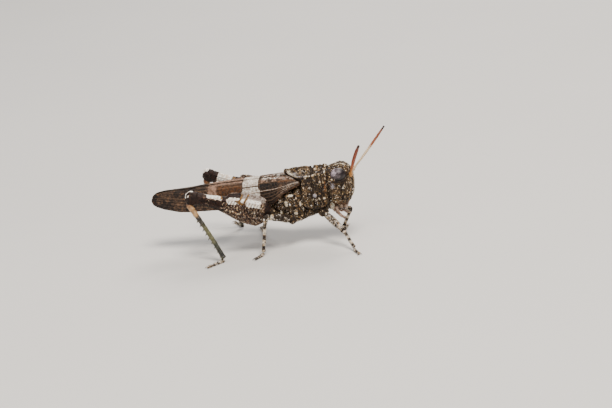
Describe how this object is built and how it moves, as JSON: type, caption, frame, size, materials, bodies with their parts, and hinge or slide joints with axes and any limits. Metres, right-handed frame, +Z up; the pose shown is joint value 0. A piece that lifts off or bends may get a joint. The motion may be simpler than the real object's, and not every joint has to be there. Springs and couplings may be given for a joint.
{
  "type": "grasshopper",
  "caption": "Life-size grasshopper standing still, wings folded, hind knees raised, feelers forward; for display or as a natural-history prop.",
  "frame": {"origin": "on the floor, under the middle of the whole animal's box", "axes": "+X towards the head, +Y towards the animal's own left side, +Z up; the feet stand at z = 0"},
  "size_m": [0.0366, 0.0226, 0.0164],
  "materials": {
    "cuticle": "rough, grainy, speckled dark brown with buff and olive flecks",
    "forewing": "leathery, satin, dark brown and cream bands with pale raised veins",
    "hindwing": "thin folded fan, pale smoky blue",
    "eye": "glossy violet-brown, mottled",
    "antenna": "satin red-brown with cream rings near the base",
    "abdomen": "satin buff-brown rings",
    "hind_thigh": "ribbed, cream patches over mottled brown",
    "hind_shin": "satin olive and black with a buff ring, pale spines",
    "walking_leg": "black and cream speckled",
    "mouth": "pale tan, satin"
  },
  "bodies": {
    "root": {"thorax": "cuticle", "prosternum": "cuticle", "pronotum": "cuticle", "abdomen": "abdomen", "ovipositor_upper": "abdomen", "ovipositor_lower": "abdomen", "cercus_left": "abdomen", "cercus_right": "abdomen", "head": "cuticle", "labrum": "mouth", "labium": "mouth", "eye_left": "eye", "mandible_left": "mouth", "palp_left": "mouth", "eye_right": "eye", "mandible_right": "mouth", "palp_right": "mouth", "antenna_left": "antenna", "antenna_right": "antenna", "tegmen_left": "forewing", "hindwing_left": "hindwing", "tegmen_right": "forewing", "hindwing_right": "hindwing", "tarsus_fore_left": "walking_leg", "coxa_fore_left": "walking_leg", "femur_fore_left": "walking_leg", "tibia_fore_left": "walking_leg", "tarsus_fore_right": "walking_leg", "coxa_fore_right": "walking_leg", "femur_fore_right": "walking_leg", "tibia_fore_right": "walking_leg", "tarsus_mid_left": "walking_leg", "coxa_mid_left": "walking_leg", "femur_mid_left": "walking_leg", "tibia_mid_left": "walking_leg", "tarsus_mid_right": "walking_leg", "coxa_mid_right": "walking_leg", "femur_mid_right": "walking_leg", "tibia_mid_right": "walking_leg", "tarsus_hind_left": "hind_shin", "coxa_hind_left": "walking_leg", "femur_hind_left": "hind_thigh", "tibia_hind_left": "hind_shin", "tarsus_hind_right": "hind_shin", "coxa_hind_right": "walking_leg", "femur_hind_right": "hind_thigh", "tibia_hind_right": "hind_shin"}
  },
  "joints": []
}
